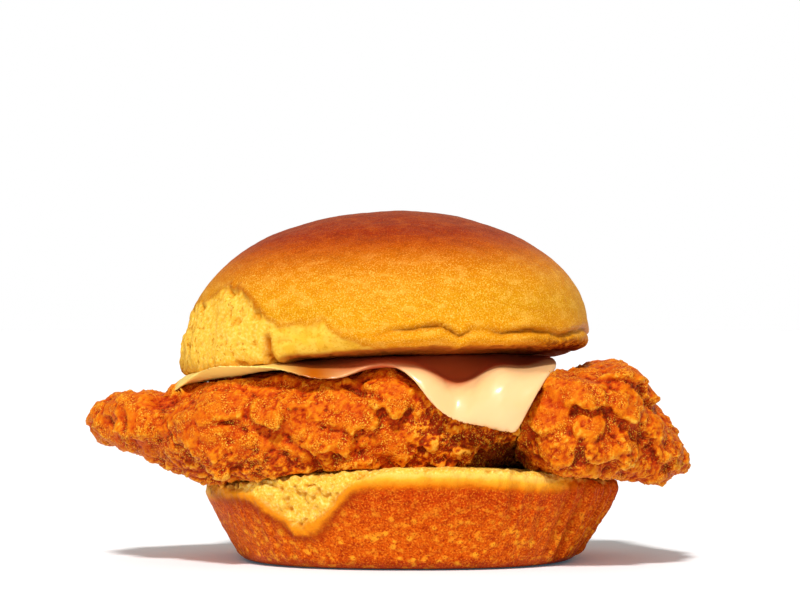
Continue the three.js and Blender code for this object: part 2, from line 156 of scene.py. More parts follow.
def arrays(mesh):
    """A mesh's points in millimetres and its triangles."""
    points = np.empty(len(mesh.vertices) * 3, np.float32)
    mesh.vertices.foreach_get("co", points)
    mesh.calc_loop_triangles()
    faces = np.empty(len(mesh.loop_triangles) * 3, np.int32)
    mesh.loop_triangles.foreach_get("vertices", faces)
    return points.reshape(-1, 3).astype(float) / MM, faces.reshape(-1, 3)


class Skin:
    """A fine mesh that is shaped point by point, in millimetres."""

    def __init__(self, mesh):
        self.mesh = mesh
        self.points, _ = arrays(mesh)
        edges = np.empty(len(mesh.edges) * 2, np.int32)
        mesh.edges.foreach_get("vertices", edges)
        self.edges = edges.reshape(-1, 2)
        self.neighbours = np.bincount(edges, minlength=len(self.points))

    def evened(self, values, rounds):
        """Values spread over neighbouring points, a round for each step."""
        ends, starts = np.concatenate([self.edges, self.edges[:, ::-1]]).T
        columns = values.reshape(len(values), -1).T
        for _ in range(rounds):
            sums = [np.bincount(ends, column[starts], len(column)) for column in columns]
            columns = [(column + total) / (1 + self.neighbours) for column, total in zip(columns, sums)]
        return np.stack(columns, axis=1).reshape(values.shape)

    def relax(self, rounds):
        self.points = self.evened(self.points, rounds)

    def normals(self):
        self.write()
        normals = np.empty(len(self.points) * 3, np.float32)
        self.mesh.vertices.foreach_get("normal", normals)
        return normals.reshape(-1, 3).astype(float)

    def push(self, amounts):
        self.points += self.normals() * amounts[:, None]

    def hollow(self, rounds):
        """How far each point stands out of its surroundings; hollows are below 0."""
        return np.einsum("ij,ij->i", self.points - self.evened(self.points, rounds), self.normals())

    def mark(self, name, values):
        attribute = self.mesh.attributes.new(name, "FLOAT", "POINT")
        attribute.data.foreach_set("value", values.astype(np.float32))

    def write(self):
        self.mesh.vertices.foreach_set("co", (self.points * MM).astype(np.float32).ravel())
        self.mesh.update()

    def keep_off(self, nodes, margin):
        """Moves points that come too near the other solids back out of them."""
        for node in nodes:
            tree = solid_tree(node)
            for i, point in enumerate(self.points):
                place, normal, _, _ = tree.find_nearest(point, 3)
                if place and (Vector(point) - place).dot(normal) < margin:
                    self.points[i] = place + normal * margin


def solid_tree(node):
    points, faces = arrays(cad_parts[node].data)
    return BVHTree.FromPolygons(points.tolist(), faces.tolist())


def clearance(points, nodes):
    """Distance from each point to the nearest of the other solids."""
    trees = [solid_tree(node) for node in nodes]
    return np.array([min(tree.find_nearest(point)[3] for tree in trees) for point in points])


# Materials


def colour(red, green, blue):
    """A colour for a shader from screen values of 0 to 255."""
    screen = np.array([red, green, blue]) / 255
    linear = np.where(screen <= 0.04045, screen / 12.92, ((screen + 0.055) / 1.055) ** 2.4)
    return (*linear.tolist(), 1.0)


class Paint:
    """A material under construction."""

    def __init__(self, name):
        self.material = bpy.data.materials.new(name)
        self.material.use_nodes = True
        self.tree = self.material.node_tree
        self.surface = self.tree.nodes["Principled BSDF"]
        self.place = self.node("ShaderNodeTexCoord").outputs["Object"]

    def node(self, kind, inputs=None, **settings):
        made = self.tree.nodes.new(kind)
        for key, value in settings.items():
            setattr(made, key, value)
        for key, value in (inputs or {}).items():
            self.put(made.inputs[key], value)
        return made

    def put(self, socket, value):
        if isinstance(value, bpy.types.NodeSocket):
            self.tree.links.new(value, socket)
        else:
            socket.default_value = value

    def set(self, **values):
        for key, value in values.items():
            self.put(self.surface.inputs[key.replace("_", " ")], value)

    def mark(self, name):
        return self.node("ShaderNodeAttribute", attribute_name=name).outputs["Fac"]

    def noise(self, size, detail=3, stretch=(1, 1, 1)):
        """Cloudy noise with one cloud about every size millimetres."""
        scaled = self.node("ShaderNodeMapping", {"Vector": self.place, "Scale": stretch}).outputs[0]
        inputs = {"Vector": scaled, "Scale": 1 / (size * MM), "Detail": detail}
        return self.node("ShaderNodeTexNoise", inputs).outputs["Fac"]

    def bubbles(self, size):
        """Distance from the middle of round cells about a size apart."""
        inputs = {"Vector": self.place, "Scale": 1 / (size * MM), "Smoothness": 0.5}
        return self.node("ShaderNodeTexVoronoi", inputs, feature="SMOOTH_F1").outputs["Distance"]

    def between(self, value, low, high):
        """0 below low, 1 above high."""
        inputs = {"Value": value, "From Min": low, "From Max": high}
        return self.node("ShaderNodeMapRange", inputs, interpolation_type="SMOOTHSTEP").outputs[0]

    def maths(self, operation, first, second):
        return self.node("ShaderNodeMath", {0: first, 1: second}, operation=operation).outputs[0]

    def times(self, first, second):
        return self.maths("MULTIPLY", first, second)

    def mix(self, share, first, second):
        """A share of the second colour in the first."""
        made = self.node("ShaderNodeMix", data_type="RGBA")
        for name, kind, value in (("Factor", "VALUE", share), ("A", "RGBA", first), ("B", "RGBA", second)):
            socket = next(s for s in made.inputs if s.name == name and s.type == kind)
            self.put(socket, value)
        return next(s for s in made.outputs if s.type == "RGBA")

    def over(self, ground, shade, where, part=1.0):
        """A colour laid over another where a value is high, part of the way."""
        return self.mix(self.times(where, part), ground, shade)

    def ranged(self, value, low, high):
        """A value of 0 to 1, stretched to run from low to high."""
        inputs = {"Value": value, "To Min": low, "To Max": high}
        return self.node("ShaderNodeMapRange", inputs).outputs[0]

    def shades(self, value, stops):
        """Colours along a value, from rows of place and red, green and blue on a screen."""
        made = self.node("ShaderNodeValToRGB", {"Fac": value})
        places = made.color_ramp.elements
        while len(places) < len(stops):
            places.new(1.0)
        for element, (place, *screen) in zip(places, stops):
            element.position = place
            element.color = colour(*screen)
        return made.outputs["Color"]

    def relief(self, height, depth, strength=1.0, below=None):
        """Fine relief of a depth in millimetres, on top of relief already made."""
        inputs = {"Height": height, "Distance": depth * MM, "Strength": strength}
        if below is not None:
            inputs["Normal"] = below
        return self.node("ShaderNodeBump", inputs).outputs["Normal"]


# Roll


CROWN_TURN = Matrix.Rotation(math.radians(-2.2), 3, "X") @ Matrix.Rotation(math.radians(-1.9), 3, "Y")
CROWN_ORIGIN = np.array([-3.4, 0, 34.27])

# The crust's torn edge on the crown: degrees round from +X, and height above the cut face
CRUST_EDGE = [
    (-216, -1.5),
    (-206, 5),
    (-192, 8.6),
    (-180, 9.8),
    (-168, 9.9),
    (-156, 10.2),
    (-150, 11.2),
    (-143, 12.4),
    (-136, 11.2),
    (-131, 9.4),
    (-126, 7.3),
    (-122, 5.2),
    (-118, 4.9),
    (-108, 5.5),
    (-105, 4.1),
    (-102, 2.4),
    (-98, 1.4),
    (-92, 0.6),
    (-86, -0.6),
    (-80, -1.5),
]

# The crease above the crown's cut face, given in the same way
CREASE = [
    (-104, 3.4),
    (-95, 3.2),
    (-87, 3.7),
    (-81, 3.9),
    (-75, 4.3),
    (-70, 2.2),
    (-66, 3.7),
    (-58, 2.8),
    (-47, 3.3),
    (-36, 2.2),
    (-19, 3.8),
    (-4, 2.6),
    (12, 3.7),
    (27, 2.5),
    (45, 3.3),
    (62, 2.4),
    (80, 3.9),
    (97, 2.7),
    (115, 3.6),
    (130, 2.6),
    (144, 3.2),
]

# The lower edge of the torn patch on the heel: degrees and height
HEEL_PATCH = [
    (-172, 17),
    (-160, 13.6),
    (-147, 13.1),
    (-139, 12.6),
    (-134, 11.1),
    (-130, 9.0),
    (-126, 7.4),
    (-123, 7.1),
    (-119, 7.7),
    (-114, 9.8),
    (-111, 11.8),
    (-108, 13.5),
    (-105, 14.6),
    (-101, 15.6),
    (-95, 17),
]

# The edge of the mesh cells that carry the bread's relief
ROLL_VOXEL = 0.45

# Where things lie round the crown and the heel, in degrees from +X
TORN_TURN = -166
CREVICE_TURN = -125.5
CRUMBLING_TURN = -134
LIFTED_TURN = -40
WRINKLED_TURN = -22
SHADED_TURN = -16

# Heights of the two halves of the roll, which the colours are spread over
CROWN_HEIGHT = 26
HEEL_HEIGHT = 17

# The heel's rim: its height and place in x at the highest point, and how far it falls at half its width
RIM_TOP = 16.9
RIM_MIDDLE = 2
RIM_FALL = 3.5
RIM_HALF_WIDTH = 34.9

# How bread takes the light
BREAD_SHEEN = {
    "Specular_IOR_Level": 0.06,
    "Specular_Tint": (1.0, 0.7, 0.3, 1.0),
    "Subsurface_Weight": 0.06,
    "Subsurface_Scale": 1.0 * MM,
    "Subsurface_Radius": (1.0, 0.4, 0.1),
}

# Crust colours: share of the piece's height, then red, green and blue on a screen
CROWN_SHADES = [
    # The two lowest rows are lightened: painted light on the crown's low front, which the key light hardly
    # reaches
    (0.0, 232, 150, 16),
    (0.12, 226, 148, 12),
    (0.3, 214, 147, 14),
    (0.46, 212, 134, 9),
    (0.58, 202, 108, 2),
    (0.68, 182, 77, 2),
    (0.78, 150, 40, 2),
    (0.9, 140, 35, 2),
]
HEEL_SHADES = [
    (0.0, 180, 62, 6),
    (0.15, 206, 85, 8),
    (0.4, 208, 85, 8),
    (0.7, 198, 67, 7),
    (1.0, 196, 67, 7),
]

# Colours of the heel's wall towards its pale rim, in the same way, from the wall to the rim
RIM_SHADES = [
    (0.0, 200, 76, 8),
    (0.4, 226, 122, 10),
    (0.75, 244, 168, 42),
    (1.0, 250, 206, 100),
]


def along(table, degrees):
    """A table's value at angles, the same all the way round."""
    places, values = np.array(table).T
    return np.interp((degrees - places[0]) % 360 + places[0], places, values)


def around(points):
    """Degrees round from +X."""
    return np.degrees(np.arctan2(points[:, 1], points[:, 0]))


def off(turn, middle):
    """Degrees between angles and a direction, the short way round."""
    return np.abs((turn - middle + 180) % 360 - 180)


def make_crown():
    skin = Skin(remeshed(rounded_solid("bun_crown", 2), ROLL_VOXEL))
    skin.relax(4)
    local = (skin.points - CROWN_ORIGIN) @ np.array(CROWN_TURN)
    height = local[:, 2]
    turn = around(local)
    side = ramp(np.hypot(local[:, 0], local[:, 1]), 24, 30)
    cut_face = 1 - ramp(height, 0.15, 0.9)
    wander = 0.7 * waves(local, 2.6, 1) + 0.35 * waves(local, 0.9, 2)

    edge = along(CRUST_EDGE, turn)
    crumb = ramp(edge + wander - height, -0.3, 0.5) * side
    torn = ramp(off(turn, TORN_TURN), 46, 40) * crumb
    rim = bell(height - edge - wander - 0.3, 0.55) * side * ramp(edge, 0, 1)
    rim *= 0.3 + 0.7 * bell(off(turn, CRUMBLING_TURN), 11)
    singed = bell(height - 0.6, 1.3) * side * ramp(turn, -54, -34) * ramp(turn, 0, -14)
    crevice = bell(off(turn, CREVICE_TURN), 1.1) * ramp(height, 4.6, 3) * side

    crease = height - along(CREASE, turn) - 0.25 * waves(local, 3, 3)
    whole = side * (1 - ramp(edge, -1, 1.5))
    depth = 0.55 + 0.45 * waves(np.stack([turn, turn * 0, turn * 0], axis=1), 14, 4)
    fold = bell(crease, 0.38) * np.clip(depth, 0.2, 1) * whole
    swell = bell(crease + 1.5, 1.2) * whole
    overhang = bell(crease - 1.1, 1.0) * np.clip(depth, 0, 1) * whole

    pores = -0.6 * ramp(waves(local, 1.7, 11) + 0.9 * waves(local, 4.2, 12), 0.25, 0.8)
    shreds = 0.25 * waves(local, 2.2, 5) + 0.4 * waves(local, 4.6, 6) + 0.25 * waves(local, 0.9, 13)
    open_crumb = torn + 0.4 * (crumb - torn)

    skin.push(
        open_crumb * (pores + shreds)
        + cut_face * (0.6 * pores + 0.15 * waves(local, 1.0, 15))
        + 0.5 * rim * (0.5 + waves(local, 1.2, 16))
        + 0.4 * singed * waves(local, 1.0, 17)
        - 1.1 * crevice
        - 1.4 * fold
        + 0.65 * swell
        + 0.35 * overhang
        + (1 - crumb) * (0.05 * waves(local, 1.3, 7) + 0.14 * waves(local, 6, 8))
    )
    skin.points[:, 2] -= 0.9 * torn * bell(height, 2)
    skin.points[:, 2] += 0.6 * ramp(off(turn, LIFTED_TURN), 75, 45) * side * ramp(height, 3, 0)
    skin.mark("height", height / CROWN_HEIGHT)
    skin.mark("crumb", crumb)
    # The cut face is painted dark brown as painted shade, where it lies over the gap above the cheese
    skin.mark("cut", cut_face * (1 - 0.7 * torn))
    skin.mark("torn", torn)
    # The torn crust's edge is a darker brown line; the crevice beside the torn crumb is painted dark as
    # painted shade
    skin.mark("rim", np.maximum(rim, 0.8 * crevice))
    # The crease under the fold is painted dark as painted shade
    skin.mark("fold", fold)
    skin.mark("singed", singed)
    skin.mark("dull", np.clip(crumb + cut_face + singed, 0, 1))
    # Painted shade: the bread is painted darker in its hollows
    skin.mark("pit_shade", np.clip(-skin.hollow(6) * 3, 0, 1))
    finish_piece(skin, "bun_crown_baked", "bun_crown", crown_paint())


def crown_paint():
    paint = Paint("crown_crust")
    height = paint.mark("height")
    sand = paint.noise(0.22, 2)
    streaks = paint.noise(2.6, 4, (1, 1, 2.2))
    uneven = paint.maths("ADD", height, paint.times(paint.noise(9, 4), 0.1))
    crust = paint.shades(paint.maths("SUBTRACT", uneven, 0.05), CROWN_SHADES)
    browned = paint.between(height, 0.45, 0.75)
    light = paint.mix(browned, colour(252, 200, 92), colour(204, 98, 20))
    dark = paint.mix(browned, colour(196, 106, 4), colour(104, 28, 4))
    # Light and dark sand specks: the crust's grain, partly painted highlights on its tops and painted
    # shade between them
    crust = paint.over(crust, light, paint.between(sand, 0.52, 0.68), 0.65)
    crust = paint.over(crust, dark, paint.between(sand, 0.48, 0.32), 0.6)
    crust = paint.over(crust, light, paint.between(streaks, 0.5, 0.7), 0.22)
    crust = paint.over(crust, dark, paint.between(streaks, 0.5, 0.3), 0.28)

    grit = paint.noise(0.45, 3)
    hollows = paint.between(grit, 0.48, 0.32)
    fresh = paint.mix(paint.noise(3, 4), colour(246, 198, 80), colour(236, 174, 44))
    fresh = paint.over(fresh, colour(255, 226, 130), paint.between(grit, 0.5, 0.66), 0.4)
    fresh = paint.over(fresh, colour(220, 150, 28), hollows, 0.4)
    clusters = paint.between(paint.noise(3.4, 3), 0.42, 0.6)
    specks = paint.between(paint.noise(0.7, 6), 0.54, 0.64)
    specks = paint.times(specks, paint.ranged(clusters, 0.25, 1))
    speckled = paint.over(fresh, colour(200, 118, 6), specks, 0.85)
    buttery = paint.between(paint.noise(2, 3), 0.4, 0.6)
    lip = paint.over(colour(240, 182, 52), colour(252, 212, 96), buttery, 0.35)
    lip = paint.over(lip, colour(214, 140, 10), hollows, 0.5)
    crumb = paint.over(lip, speckled, paint.mark("torn"))
    # Painted shade in the crumb's hollows
    crumb = paint.over(crumb, colour(208, 130, 10), paint.mark("pit_shade"))

    # Dark brown of the cut face: painted shade in the gap under the crown
    shaded_cut = paint.mix(paint.noise(0.9, 3), colour(200, 112, 34), colour(136, 58, 14))
    burnt = paint.times(paint.mark("singed"), paint.between(paint.noise(0.8, 3), 0.4, 0.6))
    bread = paint.over(crust, crumb, paint.mark("crumb"))
    bread = paint.over(bread, shaded_cut, paint.mark("cut"))
    # Darker crust edge, and painted shade in the crevice
    bread = paint.over(bread, colour(168, 78, 10), paint.mark("rim"), 0.75)
    bread = paint.over(bread, colour(126, 50, 10), burnt)
    # Painted shade in the crease under the fold
    bread = paint.over(bread, colour(142, 56, 4), paint.mark("fold"), 0.95)
    dimples = paint.relief(paint.noise(1.4, 3), 0.08, 0.6)
    paint.set(
        Base_Color=bread,
        Roughness=paint.ranged(paint.mark("dull"), 0.42, 0.95),
        Normal=paint.relief(sand, 0.07, 0.9, dimples),
        **BREAD_SHEEN,
    )
    return paint.material


def make_heel():
    skin = Skin(remeshed(rounded_solid("bun_heel", 2), ROLL_VOXEL))
    skin.relax(4)
    points = skin.points.copy()
    turn = around(points)
    radius = np.hypot(points[:, 0], points[:, 1])
    height = points[:, 2]
    across = (points[:, 0] - RIM_MIDDLE) / RIM_HALF_WIDTH
    below_rim = RIM_TOP - RIM_FALL * across**2 - height
    wall = ramp(radius, 27, 30) * ramp(height, 0.6, 2)
    wander = 0.6 * waves(points, 2.4, 21) + 0.3 * waves(points, 0.9, 22)

    patch_edge = along(HEEL_PATCH, turn)
    above_edge = height - patch_edge + wander
    by_patch = wall * ramp(patch_edge, 16, 14)
    patch = ramp(above_edge, -0.3, 0.5) * wall
    scorch_and_shade = bell(above_edge + 1.9, 1.1) * by_patch
    golden = bell(above_edge + 0.5, 0.8) * by_patch
    cut_face = ramp(skin.normals()[:, 2], 0.55, 0.8) * ramp(height, 8, 10)
    crumb = np.maximum(patch, cut_face)
    shaded = ramp(off(turn, SHADED_TURN), 34, 20)
    # The pale rim fades to the wall's colour at the front right: painted shadow of the right strip
    pale = (1 - ramp(below_rim + 0.5 * wander, 0.2, 4.6)) * (1 - 0.75 * shaded)

    pores = -0.5 * ramp(waves(points, 1.3, 31) + 0.5 * waves(points, 3.5, 32), 0.15, 0.6)
    shreds = 0.3 * waves(points, 1.7, 26) + 0.2 * waves(points, 0.75, 33)
    pimples = ramp(dot_distance(points + 0.3 * wander[:, None], 1.2, 37), 0.75, 0.2)
    wrinkles = waves(np.stack([turn, height * 0.12, turn * 0], axis=1), 2.6, 24)
    creased = ramp(off(turn, WRINKLED_TURN), 26, 10) + 0.3 * ramp(waves(points, 20, 25), 0, 0.5)
    ragged = bell(below_rim - 0.5, 0.9) * ramp(radius, 30, 33)
    baked = wall * (1 - crumb)

    skin.push(
        patch * (pores + shreds - 0.5)
        + cut_face * (0.6 * pores + 0.5 * shreds + 0.2)
        + ragged * (0.35 * waves(points, 1.1, 27) + 0.25 * waves(points, 0.6, 28))
        + baked * (0.12 * pimples + 0.12 * waves(points, 3.5, 29))
        + baked * np.clip(creased, 0, 1) * 1.5 * wrinkles
    )
    # The wrinkles' valleys are painted dark as painted shade
    valley_shade = np.clip(-2 * creased * wrinkles, 0, 0.9)
    skin.mark("height", height / HEEL_HEIGHT)
    skin.mark("crumb", crumb)
    skin.mark("pale", pale)
    # Painted shadow on the cut face at the front right, under the right strip
    skin.mark("shaded_cut", cut_face * shaded)
    # A scorched dark band under the torn patch, and painted shade in the wrinkles' valleys
    skin.mark("scorch_and_shade", np.clip(scorch_and_shade * (1 - patch) + valley_shade, 0, 1))
    skin.mark("golden", golden * (1 - patch))
    # Darker towards the bottom: a darker baked edge, and painted shade where the heel meets the floor
    skin.mark("foot", 1 - ramp(height + 0.6 * wander, 0.2, 2.2))
    # Painted shade: the crumb is painted darker in its hollows
    skin.mark("pit_shade", np.clip(-skin.hollow(6) * 3, 0, 1))
    finish_piece(skin, "bun_heel_baked", "bun_heel", heel_paint())


def heel_paint():
    paint = Paint("heel_crust")
    height = paint.mark("height")
    pale = paint.mark("pale")
    sand = paint.noise(0.32, 3)
    cell = paint.bubbles(1.4)
    mottle = paint.noise(1.7, 3, (1, 1, 1.4))
    uneven = paint.maths("ADD", height, paint.times(paint.noise(6, 4), 0.3))
    crust = paint.shades(paint.maths("SUBTRACT", uneven, 0.15), HEEL_SHADES)
    low = paint.between(height, 0.75, 0.3)
    dots = paint.times(paint.between(cell, 0.5, 0.2), paint.between(mottle, 0.42, 0.6))
    blotches = paint.maths("MAXIMUM", dots, paint.times(paint.between(mottle, 0.55, 0.7), 0.6))
    crust = paint.over(crust, colour(248, 164, 36), blotches, paint.ranged(low, 0.2, 1))
    crust = paint.over(crust, colour(160, 38, 3), paint.between(mottle, 0.45, 0.3), 0.6)
    crust = paint.over(crust, colour(241, 138, 32), paint.between(sand, 0.52, 0.68), 0.75)
    crust = paint.over(crust, colour(148, 32, 2), paint.between(sand, 0.48, 0.32), 0.75)
    crust = paint.over(crust, paint.shades(pale, RIM_SHADES), paint.between(pale, 0.1, 0.5))

    grit = paint.noise(0.45, 3)
    fresh = paint.mix(paint.noise(2.4, 4), colour(250, 204, 88), colour(240, 180, 48))
    fresh = paint.over(fresh, colour(255, 228, 140), paint.between(grit, 0.5, 0.66), 0.6)
    fresh = paint.over(fresh, colour(220, 148, 28), paint.between(grit, 0.48, 0.32), 0.6)
    # Painted shade in the crumb's hollows
    crumb = paint.over(fresh, colour(212, 132, 28), paint.mark("pit_shade"))
    # Painted shadow on the cut face under the right strip
    crumb = paint.over(crumb, colour(170, 86, 20), paint.mark("shaded_cut"), 0.8)

    # Scorched band, and painted shade in the wrinkles' valleys
    bread = paint.over(crust, colour(140, 40, 6), paint.mark("scorch_and_shade"), 0.65)
    bread = paint.over(bread, colour(238, 146, 22), paint.mark("golden"), 0.9)
    # Darker baked foot, with painted shade by the floor
    bread = paint.over(bread, colour(130, 34, 6), paint.mark("foot"), 0.6)
    bread = paint.over(bread, crumb, paint.mark("crumb"))
    pimpled = paint.relief(paint.between(cell, 0.8, 0.1), 0.16, 0.8)
    paint.set(
        Base_Color=bread,
        Roughness=paint.ranged(paint.mark("crumb"), 0.5, 0.9),
        Normal=paint.relief(sand, 0.2, 0.9, pimpled),
        **BREAD_SHEEN,
    )
    return paint.material


# Chicken

# Large plates of breading on the front of each strip: x, height, length, width, slope of the long
# side in degrees, direction in which the plate rises, and how far it stands out
LEFT_PLATES = [
    (-44.6, 26.4, 9.5, 9.0, 0, 180, 2.3),
    (-38.6, 23.6, 8.0, 6.0, -40, -130, 1.3),
    (-34.0, 21.2, 16.0, 7.0, -35, -125, 2.2),
    (-31.9, 27.4, 11.0, 6.6, -5, -90, 1.9),
    (-23.2, 26.1, 6.4, 4.6, -20, -90, 2.3),
    (-18.8, 28.8, 7.5, 5.0, 0, -90, 1.5),
    (-10.5, 26.4, 12.0, 7.0, -20, -80, 2.0),
    (-3.2, 30.0, 9.5, 8.0, -45, -120, 2.3),
    (-37.5, 29.5, 8.0, 5.0, 25, 60, 1.6),
    (-30.5, 31.0, 8.0, 4.0, 0, -90, 1.3),
    (-24.0, 30.4, 7.0, 4.0, 0, -90, 1.2),
    (-12.0, 30.6, 7.0, 4.0, -20, -90, 1.2),
    (-13.0, 21.4, 9.0, 5.2, -10, -90, 1.5),
    (-26.0, 20.2, 7.0, 4.6, 15, -80, 1.4),
    (-18.0, 23.8, 6.0, 4.4, 30, -100, 1.3),
    (-5.0, 20.6, 7.0, 5.0, -20, -90, 1.4),
    (2.0, 21.5, 4.8, 3.6, -20, -90, 2.2),
    (9.8, 20.2, 4.6, 4.2, 60, -90, 2.3),
    (13.2, 22.1, 4.6, 3.4, 0, -90, 2.1),
    (5.3, 21.9, 3.8, 3.0, 30, -90, 1.9),
    (7.0, 23.4, 5.0, 3.0, 0, -90, 1.8),
    (-0.7, 19.4, 4.6, 3.4, 20, -90, 2.0),
    (4.2, 18.6, 4.2, 3.2, 0, -90, 1.9),
]
LEFT_CREVICES = [
    (-8.4, 29.4, 8.0, 1.6, -32, -90, 1.4),
    (-29.5, 23.8, 7.0, 1.6, -20, -90, 0.8),
    (-8.5, 18.6, 9.0, 1.8, 14, -90, 0.9),
    (-47.6, 25.0, 6.0, 1.4, -62, -90, 1.3),
]
RIGHT_PLATES = [
    (24.4, 31.4, 8.0, 6.0, -30, -90, 1.9),
    (27.4, 30.2, 10.0, 7.0, -15, -70, 2.1),
    (22.6, 26.8, 8.0, 7.4, -80, -90, 1.7),
    (35.3, 33.0, 6.6, 5.6, 0, -60, 2.2),
    (38.8, 30.0, 6.0, 5.0, 60, -60, 2.3),
    (34.7, 27.4, 8.0, 4.6, -35, -110, 1.7),
    (40.4, 24.0, 6.4, 4.8, -40, -60, 1.6),
    (30.6, 19.2, 5.2, 4.2, 0, -90, 2.1),
    (35.4, 19.6, 6.8, 5.2, -30, -110, 2.2),
    (42.3, 20.2, 5.6, 5.4, 0, -45, 2.1),
    (22.8, 19.8, 9.0, 5.6, -10, -90, 2.0),
    (24.0, 16.2, 13.0, 3.8, -12, -90, 1.5),
    (29.6, 24.0, 6.4, 4.6, 20, -90, 2.0),
]
RIGHT_CREVICES = [
    (40.2, 26.8, 5.0, 1.8, -25, -90, 1.6),
    (31.6, 30.6, 6.0, 1.5, -50, -90, 1.1),
    (27.4, 22.0, 8.0, 1.6, -8, -90, 1.0),
    (33.0, 22.6, 5.0, 1.4, -60, -90, 1.0),
    (38.8, 21.6, 5.0, 1.4, -70, -90, 1.0),
]

# How much the uneven ground under the flakes rises from one flake to the next
FLAKE_STEP = 0.4

# The edge of the mesh cells that the plates are raised from, and of those that carry the crumbs
CORE_VOXEL = 0.45
BREADING_VOXEL = 0.39

# Plates scattered over the strips: how far apart, and the least and greatest length and lift
PLATE_SPACING = 6.0
PLATE_LENGTHS = (6, 10)
PLATE_LIFTS = (0.5, 1.1)

# How far the skin is drawn in under the plates, and how far they sag for each step they stand out
ROOM_FOR_PLATES = 1.1
DROOP = 0.4

# How far the right strip's left side is drawn out towards the cheese
RIGHT_REACH = 1.8

# Where the two strips part at the front, low down
CLEFT_X = 14.5

# Crumbs along the foot of the left strip, where it lies on the heel: first and last x, and step
FOOT_CRUMBS = (-27, 17, 3.4)

# How much the breading's colour follows fine relief, broad relief, patches and crumbs; the two reliefs
# give painted shade in hollows and painted light on what stands out
BREADING_SHARES = (0.7, 0.32, 0.3, 0.2)

# Colours of the breading: from hollows to what stands out, then red, green and blue on a screen; dark
# hollows are painted shade and light tops painted light, over the fried colour
BREADING_SHADES = [
    (0.15, 116, 17, 4),
    (0.3, 172, 41, 4),
    (0.43, 200, 73, 5),
    (0.56, 214, 101, 7),
    (0.75, 230, 131, 16),
    (0.95, 246, 178, 60),
]


@dataclass
class Plate:
    """A ragged plate of breading that lies on a strip and stands out most at one side."""

    centre: np.ndarray
    normal: np.ndarray
    long_way: np.ndarray
    rising: np.ndarray
    length: float
    width: float
    lift: float

    def heights(self, points, normals, ragged):
        """How far the plate stands out at each point."""
        offset = points - self.centre
        wide_way = np.cross(self.normal, self.long_way)
        out = np.hypot(offset @ self.long_way * 2 / self.length, offset @ wide_way * 2 / self.width)
        inside = ramp(out + ragged, 1.01, 0.94) * ramp(normals @ self.normal, 0.1, 0.5)
        slope = np.clip(offset @ self.rising * 4 / (self.length + self.width), -1, 1)
        return self.lift * inside * (0.62 + 0.38 * slope)


def flat_on(normal, direction):
    """A direction laid onto a surface; across it where the direction stands upright on it."""
    flat = direction - normal * (normal @ direction)
    if np.linalg.norm(flat) < 0.2:
        flat = np.cross(normal, [0.0, 1.0, 0.0])
    return flat / np.linalg.norm(flat)


def front_plates(points, normals, rows):
    """Plates at chosen places of a strip's front."""
    behind = 50.0 * (normals[:, 1] > 0)
    for x, height, length, width, slope, rise, lift in rows:
        i = np.argmin(np.hypot(points[:, 0] - x, points[:, 2] - height) + behind)
        ways = [
            flat_on(normals[i], np.array([math.cos(angle), 0, math.sin(angle)]))
            for angle in (math.radians(slope), math.radians(rise))
        ]
        yield Plate(points[i], normals[i], *ways, length, width, lift)


def scattered_plates(points, normals, spacing, lengths, lifts, rng):
    """Plates of mixed sizes all over a strip, with their lower sides standing out."""
    for i in spread_out(points, spacing, rng):
        down = flat_on(normals[i], np.array([0.0, 0.0, -1.0]))
        spin = rng.uniform(-1, 1)
        rising = math.cos(spin) * down + math.sin(spin) * np.cross(normals[i], down)
        long_way = flat_on(normals[i], rng.normal(size=3))
        length = rng.uniform(*lengths)
        width = length * rng.uniform(0.55, 0.95)
        yield Plate(points[i], normals[i], long_way, rising, length, width, rng.uniform(*lifts))


def spread_out(points, spacing, rng):
    """Indexes of points that lie at least a spacing apart, in mixed order."""
    kept = []
    places = np.empty((0, 3))
    for i in rng.permutation(len(points)):
        if np.all(np.sum((places - points[i]) ** 2, axis=1) > spacing**2):
            places = np.vstack([places, points[i]])
            kept.append(i)
    return kept


def highest(points, normals, plates, seed):
    """How far overlapping plates stand out together."""
    ragged = 0.3 * waves(points, 2.4, seed) + 0.2 * waves(points, 1.0, seed + 1)
    height = np.zeros(len(points))
    for plate in plates:
        height = np.maximum(height, plate.heights(points, normals, ragged))
    return height


def terraces(points, size, seed):
    """Flakes that lie on each other: uneven ground cut into steps with ragged edges."""
    ground = waves(points, size, seed)
    ground += 0.4 * waves(points, 0.37 * size, seed + 1) + 0.2 * waves(points, 0.17 * size, seed + 2)
    steps = ground / FLAKE_STEP
    whole = np.floor(steps)
    return whole + ramp(steps - whole, 0.4, 0.65)


def foot_plates(rng):
    """Rows for small plates at the foot of the left strip."""
    for x in np.arange(*FOOT_CRUMBS):
        length = rng.uniform(3.4, 6)
        yield (x, rng.uniform(16.6, 18.6), length, 0.75 * length, 0, -90, rng.uniform(1.2, 2.1))


